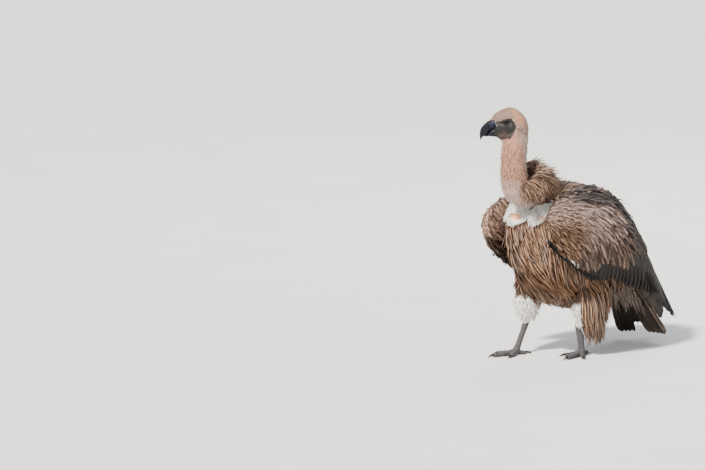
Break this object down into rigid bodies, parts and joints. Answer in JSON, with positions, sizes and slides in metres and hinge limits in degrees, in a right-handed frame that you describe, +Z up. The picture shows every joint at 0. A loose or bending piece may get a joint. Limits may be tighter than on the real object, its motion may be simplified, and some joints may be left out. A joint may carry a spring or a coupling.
{
  "type": "vulture",
  "caption": "Life-size standing vulture with folded wings, a long downy neck, a feather ruff and its head turned to its right.",
  "frame": {"origin": "middle of the base of the bounding box, on the floor the bird stands on", "axes": "+Z up, the longest way; the bird faces -Y; +X is the bird's left, the narrowest way"},
  "size_m": [0.3598, 0.684, 0.7576],
  "materials": {
    "head": "skin under short cream down",
    "neck": "wrinkled pinkish skin with thin down",
    "ruff": "long narrow tawny feathers",
    "trunk": "brown streaked feathers",
    "thigh": "long brown feathers, white down inside",
    "wing": "grey-brown to blackish feathers",
    "tail": "blackish feathers",
    "tarsus": "dark grey scaly skin",
    "toe": "dark grey scaly skin",
    "claw": "blackish horn",
    "bill": "blackish horn",
    "cere": "dark slate skin",
    "eye": "dark, wet"
  },
  "bodies": {
    "root": {"bill_lower": "bill", "bill_upper": "bill", "cere": "cere", "claw_left_hind": "claw", "claw_left_inner": "claw", "claw_left_middle": "claw", "claw_left_outer": "claw", "claw_right_hind": "claw", "claw_right_inner": "claw", "claw_right_middle": "claw", "claw_right_outer": "claw", "eye_left": "eye", "eye_right": "eye", "head": "head", "neck_lower": "neck", "neck_upper": "neck", "ruff_left": "ruff", "ruff_right": "ruff", "tail": "tail", "tarsus_left": "tarsus", "tarsus_right": "tarsus", "thigh_left": "thigh", "thigh_right": "thigh", "toe_left_hind": "toe", "toe_left_inner": "toe", "toe_left_middle": "toe", "toe_left_outer": "toe", "toe_right_hind": "toe", "toe_right_inner": "toe", "toe_right_middle": "toe", "toe_right_outer": "toe", "trunk": "trunk", "wing_left_arm": "wing", "wing_left_primaries": "wing", "wing_left_secondaries": "wing", "wing_right_arm": "wing", "wing_right_primaries": "wing", "wing_right_secondaries": "wing"}
  },
  "joints": []
}
